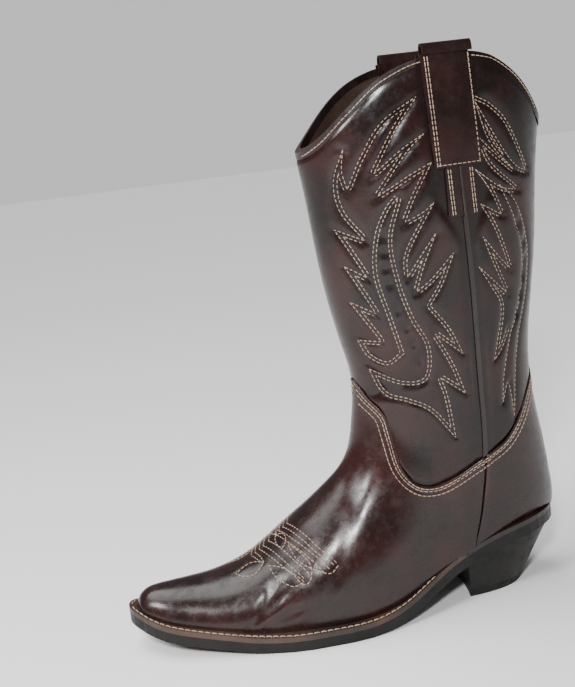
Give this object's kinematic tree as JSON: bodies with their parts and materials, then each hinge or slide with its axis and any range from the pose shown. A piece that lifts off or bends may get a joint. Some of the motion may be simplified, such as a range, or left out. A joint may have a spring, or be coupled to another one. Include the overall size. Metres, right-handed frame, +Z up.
{
  "type": "cowboy boot",
  "caption": "Left western boot with a pointed toe, scalloped stitched shaft, pull straps, welted sole and underslung stacked heel.",
  "frame": {"origin": "middle of the heel's bottom face, on the floor under the boot's long axis", "axes": "+Z up along the shaft, -X towards the toe, -Y to the outer side of the left foot"},
  "size_m": [0.3138, 0.1008, 0.3695],
  "materials": {
    "vamp_leather": "glossy reddish brown, burnished",
    "shaft_leather": "glossy dark brown, quilted by stitching",
    "strap_leather": "glossy brown, creased",
    "binding_leather": "folded edge, semi-gloss",
    "lining_leather": "smooth unpolished tan",
    "stiffener_board": "firm, matte",
    "insole_leather": "vegetable tanned, matte",
    "welt_leather": "edge dressed brown, semi-gloss",
    "sole_leather": "black edge dressing, semi-gloss",
    "heel_leather": "stacked, black edge dressing",
    "heel_rubber": "matte black",
    "cork": "granulated cork, matte",
    "shank_steel": "spring steel strip",
    "nail_steel": "plain cut nails",
    "peg_wood": "lemonwood, plain"
  },
  "bodies": {
    "root": {"vamp": "vamp_leather", "counter_cover": "vamp_leather", "toe_box": "stiffener_board", "heel_stiffener": "stiffener_board", "vamp_interlining": "lining_leather", "front_shaft_panel": "shaft_leather", "back_shaft_panel": "shaft_leather", "front_shaft_lining": "lining_leather", "back_shaft_lining": "lining_leather", "vamp_lining": "lining_leather", "heel_lining": "lining_leather", "front_topline_binding": "binding_leather", "back_topline_binding": "binding_leather", "lateral_pull_strap": "strap_leather", "medial_pull_strap": "strap_leather", "lateral_side_patch": "strap_leather", "medial_side_patch": "strap_leather", "lateral_side_piping": "binding_leather", "medial_side_piping": "binding_leather", "welt": "welt_leather", "heel_rand": "welt_leather", "insole": "insole_leather", "heel_sock": "lining_leather", "cork_filler": "cork", "steel_shank": "shank_steel", "outsole": "sole_leather", "heel_wedge": "heel_leather", "heel_lift_1": "heel_leather", "heel_lift_2": "heel_leather", "heel_lift_3": "heel_leather", "heel_top_lift": "heel_rubber", "heel_seat_nails": "nail_steel", "top_lift_nails": "nail_steel", "arch_pegs": "peg_wood"}
  },
  "joints": []
}
